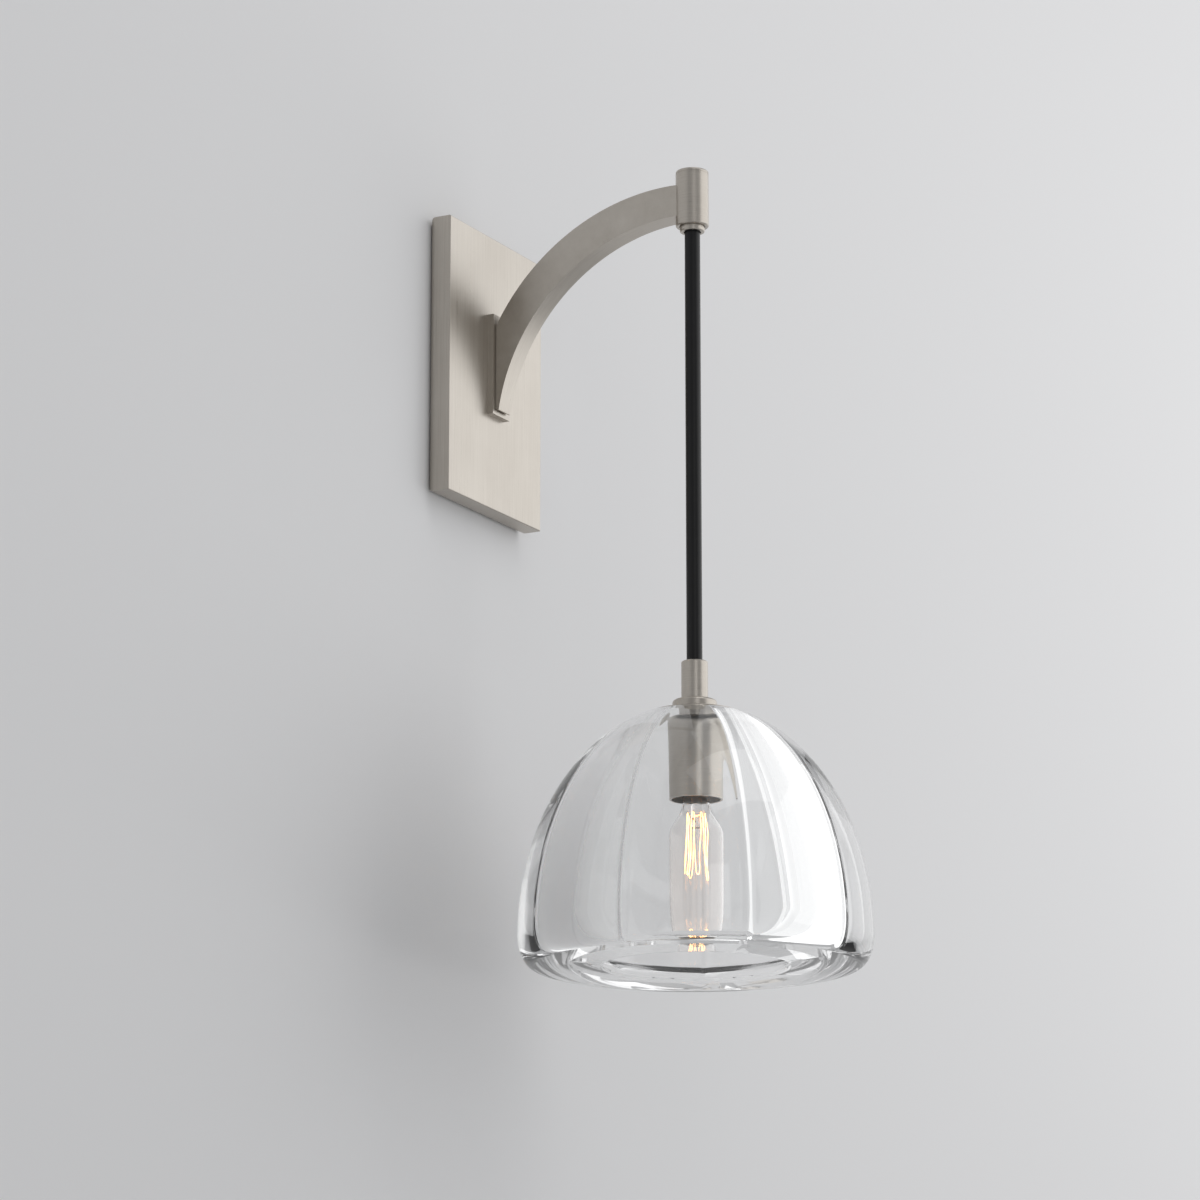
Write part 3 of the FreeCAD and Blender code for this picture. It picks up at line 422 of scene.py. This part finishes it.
# the hollow: panels that are arcs of circles set off from the axis
PANELS = 7
PANEL_TURN = math.radians(176.4)
PANEL_SHIFT = 10.5 * MM
PANEL_REACH = 61.0 * MM
PANEL_CROWN = 117.0 * MM
WAIST = -307.0 * MM
CEILING = -197.8 * MM
CEILING_SHARES = (0.75, 0.5, 0.25)                       # rows between its rim and the bore
WAIST_STEPS, HOLLOW_STEPS = 12, 84
# the rounded line where two panels meet
RIDGE_DEEP = 0.55 * MM
RIDGE_HALF = 1.8 * MM
STEPS_PER_PANEL = 72
CROWDING = 0.6                                           # how much finer the mesh is at the ridges
GLASS_SHARP = 30


def panel_radius(angle, circle):
    """Distance from the axis to the panel that faces an angle, for a level circle's radius."""
    step = 2 * math.pi / PANELS
    off = (angle - PANEL_TURN) % step - step / 2
    along, across = PANEL_SHIFT * math.cos(off), PANEL_SHIFT * math.sin(off)
    plain = math.sqrt(circle ** 2 - across ** 2) - along
    from_ridge = plain * (step / 2 - abs(off))
    return plain + RIDGE_DEEP * math.exp(-(from_ridge / RIDGE_HALF) ** 2)


def panel_angles():
    """Angles round the axis, crowded where two panels meet."""
    step = 2 * math.pi / PANELS
    angles = []
    for panel in range(PANELS):
        for part in range(STEPS_PER_PANEL):
            share = part / STEPS_PER_PANEL
            share -= CROWDING * math.sin(2 * math.pi * share) / (2 * math.pi)
            angles.append(PANEL_TURN + step * (panel + share))
    return angles


def hollow_circle(height):
    """The radius of the panels' level circles at a height."""
    reach = PANEL_REACH + PANEL_SHIFT
    if height >= WAIST:
        return reach * math.sqrt(1 - ((height - WAIST) / PANEL_CROWN) ** 2)
    share = (height - LIP) / (WAIST - LIP)
    return MOUTH + PANEL_SHIFT + (reach - MOUTH - PANEL_SHIFT) * share


def outside_points():
    """The glass's outside as (radius, height), from the bore over the dome to the mouth's edge."""
    top_angle = math.degrees(math.asin((GLASS_TOP - WIDEST) / CROWN))
    foot_radii = (GLASS_RADIUS - FOOT_RADIUS, WIDEST - GLASS_BOTTOM)
    edge_centre = (MOUTH + EDGE_ROUND, GLASS_BOTTOM + EDGE_ROUND)
    points = [(radius, GLASS_TOP) for radius in (BORE + BORE_EDGE, *TOP_RADII)]
    points += arc_points((0, WIDEST), (GLASS_RADIUS, CROWN), top_angle, 0, DOME_STEPS)
    points += arc_points((FOOT_RADIUS, WIDEST), foot_radii, 0, -90, FOOT_STEPS)[1:]
    points += [(radius, GLASS_BOTTOM) for radius in (*UNDERSIDE_RADII, MOUTH + 2 * EDGE_ROUND)]
    points += arc_points(edge_centre, (EDGE_ROUND, EDGE_ROUND), -90, -180, EDGE_STEPS)
    points.append((MOUTH, LIP - LIP_BAND))
    return points


def hollow_heights():
    """Heights of the hollow's rows, from the lip over the waist to the ceiling."""
    ceiling_angle = math.degrees(math.asin((CEILING - WAIST) / PANEL_CROWN))
    arc = arc_points((0, WAIST), (1, PANEL_CROWN), 0, ceiling_angle, HOLLOW_STEPS)
    return ([LIP + (WAIST - LIP) * step / WAIST_STEPS for step in range(WAIST_STEPS + 1)]
            + [height for _, height in arc[1:]])


def make_shade():
    angles = panel_angles()
    around = len(angles)
    rows = [[point] * around for point in outside_points()]
    for height in hollow_heights():
        circle = hollow_circle(height)
        rows.append([(panel_radius(angle, circle), height) for angle in angles])
    ceiling_rim = [radius for radius, _ in rows[-1]]
    for share in CEILING_SHARES:
        rows.append([(BORE + (radius - BORE) * share, CEILING) for radius in ceiling_rim])
    rows.append([(BORE, CEILING)] * around)
    rows.append([(BORE, GLASS_TOP - BORE_EDGE)] * around)
    corners = []
    for row in rows:
        for angle, (radius, height) in zip(angles, row):
            corners.append((radius * math.cos(angle), AXIS_Y + radius * math.sin(angle), height))
    shade = mesh_piece("glass_dome", corners, rows_to_faces(len(rows), around, True), crystal,
                       "pendant", GLASS_SHARP)
    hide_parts("shade")


make_shade()

# ------------------------------------------------------------------ lamp
LAMP_RADIUS = 12.6 * MM
LAMP_SKIN = 0.7 * MM
LAMP_TOP = -239.55 * MM
NECK_RADIUS = 6.2 * MM
NECK_END = -243.6 * MM                                   # the neck begins to widen here
SHOULDER = -257.5 * MM                                   # and has the lamp's full width here
LAMP_END = -309.6 * MM
LAMP_POLE = -89.6                                        # degrees; the round end's mesh ends here
SHOULDER_STEPS, LAMP_END_STEPS = 18, 24
LAMP_AROUND = 96
LAMP_SHARP = 60


def lamp_outline(inset):
    """The side of the lamp's glass from the cap to its round end."""
    radius, neck = LAMP_RADIUS - inset, NECK_RADIUS - inset
    points = [(neck, LAMP_TOP), (neck, NECK_END)]
    for step in range(1, SHOULDER_STEPS + 1):
        share = step / SHOULDER_STEPS
        ease = share * share * (3 - 2 * share)
        points.append((neck + (radius - neck) * ease, NECK_END + (SHOULDER - NECK_END) * share))
    end_centre = LAMP_END + inset + radius
    points += arc_points((0, end_centre), (radius, radius), 0, LAMP_POLE, LAMP_END_STEPS)
    return points


def make_lamp():
    outline = lamp_outline(0) + lamp_outline(LAMP_SKIN)[::-1]
    lamp = turned_piece("lamp_bulb", outline, lamp_glass, "lamp", LAMP_AROUND,
                        LAMP_SHARP)
    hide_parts("lamp_envelope")


make_lamp()

# ------------------------------------------------------------------ filament
HAIRPINS = 7
FIRST_TURN = 0.6                                         # radians
FILAMENT_CIRCLE, HOOK_CIRCLE = 6.0 * MM, 4.4 * MM        # of the low bends and of the hooks
LEG_CIRCLE = 5.6 * MM                                    # of the legs between them
FILAMENT_TOP, FILAMENT_LOW = -247.6 * MM, -277.0 * MM
LOW_UNEVEN = 3.4 * MM                                    # how much higher a low bend may end
BEND_HALF_TURN = 0.16                                    # radians, half of a bend's width
BEND_HEIGHT = 1.1 * MM
BEND_NARROWER, LEG_NARROWER = 0.88, 0.72                 # the least share of their circles
LEG_SHARES = (0.35, 0.7)                                 # places of a leg's points along it
LEG_SWAY = 0.22                                          # share of the step between two legs
WIRE_RADIUS, HOOK_RADIUS = 0.16 * MM, 0.13 * MM
WIRE_SIDES = 2
STEM_END = -254.0 * MM
HOOK_FOOT = (1.6 * MM, STEM_END + 2.4 * MM)              # radius and height on the stem
HOOK_KNEE = (2.9 * MM, STEM_END + 4.4 * MM)
HOOK_TIP = (0.95 * HOOK_CIRCLE, FILAMENT_TOP + 0.35 * MM)


def on_circle(radius, turn, height):
    return (radius * math.cos(turn), AXIS_Y + radius * math.sin(turn), height)


def make_filament():
    """A glowing wire in long slack hairpins, hung on hooks that rise from the stem."""
    step = math.pi / HAIRPINS
    bends = 2 * HAIRPINS - 1
    route, hooks = [], []
    for bend in range(bends):
        turn = FIRST_TURN + bend * step
        low = bend % 2
        if low:
            height, far = FILAMENT_LOW + random.uniform(0, LOW_UNEVEN), FILAMENT_TOP
            circle, rounding = FILAMENT_CIRCLE, BEND_HEIGHT
        else:
            height, far = FILAMENT_TOP, FILAMENT_LOW
            circle, rounding = HOOK_CIRCLE, -BEND_HEIGHT
            hooks.append([on_circle(radius, turn, level)
                          for radius, level in (HOOK_FOOT, HOOK_KNEE, HOOK_TIP)])
        for side in (-1, 0, 1):
            route.append(on_circle(circle * random.uniform(BEND_NARROWER, 1.0),
                                   turn + side * BEND_HALF_TURN, height + abs(side) * rounding))
        if bend < bends - 1:
            for share in LEG_SHARES:
                radius = random.uniform(LEG_NARROWER, 1.0) * LEG_CIRCLE
                sway = random.uniform(-LEG_SWAY, LEG_SWAY)
                route.append(on_circle(radius, turn + (share + sway) * step,
                                       height + (far - height) * share))
    wire = curve_piece("glowing_filament", [route], WIRE_RADIUS, filament_glow, "lamp",
                       WIRE_SIDES)
    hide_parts("filament")
    supports = curve_piece("filament_hooks", hooks, HOOK_RADIUS, support_wire, "lamp",
                           WIRE_SIDES)
    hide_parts("filament_supports")


make_filament()

# ------------------------------------------------------------------ wall and floor
WALL_Y = 0.0006                                          # just behind the plate
WALL_TOP = 6
FLOOR_Z = -1.25
STAGE_REACH = 8                                          # to each side and out from the wall
WALL_COLOUR = (0.81, 0.81, 0.815)
FLOOR_COLOUR = (0.74, 0.74, 0.745)
STAGE_ROUGH = 0.9


def stage_plane(name, corners, colour):
    """A plain matt plane that is seen from its front only and holds back no light."""
    mesh = bpy.data.meshes.new(name)
    mesh.from_pydata(corners, [], [(0, 1, 2, 3)])
    material = new_material(name, Base_Color=(*colour, 1), Roughness=STAGE_ROUGH)
    tree = material.node_tree
    out = next(n for n in tree.nodes if n.type == "OUTPUT_MATERIAL")
    side = node(material, "ShaderNodeNewGeometry")
    clear = node(material, "ShaderNodeBsdfTransparent")
    mixed = node(material, "ShaderNodeMixShader", [
        (side.outputs["Backfacing"], 0), (shader_of(material).outputs["BSDF"], 1),
        (clear.outputs["BSDF"], 2)])
    tree.links.new(mixed.outputs["Shader"], out.inputs["Surface"])
    mesh.materials.append(material)
    plane = bpy.data.objects.new(name, mesh)
    scene.collection.objects.link(plane)
    plane.visible_diffuse = False
    plane.visible_shadow = False


stage_plane("wall", [(-STAGE_REACH, WALL_Y, FLOOR_Z), (STAGE_REACH, WALL_Y, FLOOR_Z),
                     (STAGE_REACH, WALL_Y, WALL_TOP), (-STAGE_REACH, WALL_Y, WALL_TOP)],
            WALL_COLOUR)
stage_plane("floor", [(-STAGE_REACH, -STAGE_REACH, FLOOR_Z), (STAGE_REACH, -STAGE_REACH, FLOOR_Z),
                      (STAGE_REACH, WALL_Y, FLOOR_Z), (-STAGE_REACH, WALL_Y, FLOOR_Z)],
            FLOOR_COLOUR)

# ------------------------------------------------------------------ light
LIT_PLACE = Vector((0, AXIS_Y, -0.1))                    # what the softboxes face
SOFTBOXES = (                                            # bearing, height, distance, size, radiance
    ("key", 36, 0.35, 1.7, (2.6, 2.1), 0.94),
    ("side", 82, 0.1, 1.9, (0.8, 1.6), 0.62),
    ("front", -50, 0.0, 2.4, (0.7, 1.8), 0.8),
    ("top", -20, 1.6, 0.9, (1.4, 1.0), 1.2),
)
SKY_COLOUR = (0.98, 0.985, 1.0, 1)
SKY_STRENGTH = 0.38
BOUNCES = 24                                             # through the thick glass and the lamp
GLOSSY_BOUNCES = 8


def soft_light(name, bearing, height, distance, size, radiance):
    """A softbox that faces LIT_PLACE; bearing is in degrees from straight out of the wall."""
    turn = math.radians(bearing)
    place = LIT_PLACE + Vector((math.sin(turn) * distance, -math.cos(turn) * distance, height))
    data = bpy.data.lights.new(name, "AREA")
    data.shape = "RECTANGLE"
    data.size, data.size_y = size
    data.energy = radiance * math.pi * size[0] * size[1]
    light = bpy.data.objects.new(name, data)
    scene.collection.objects.link(light)
    light.location = place
    light.rotation_euler = (place - LIT_PLACE).to_track_quat("Z", "Y").to_euler()
    light.visible_camera = False


def make_sky():
    world = bpy.data.worlds.new("world")
    scene.world = world
    world.use_nodes = True
    background = world.node_tree.nodes["Background"]
    background.inputs["Color"].default_value = SKY_COLOUR
    background.inputs["Strength"].default_value = SKY_STRENGTH


for softbox in SOFTBOXES:
    soft_light(*softbox)
make_sky()

scene.view_settings.view_transform = "Standard"
scene.cycles.max_bounces = BOUNCES
scene.cycles.transmission_bounces = BOUNCES
scene.cycles.transparent_max_bounces = BOUNCES
scene.cycles.glossy_bounces = GLOSSY_BOUNCES
scene.cycles.use_denoising = True
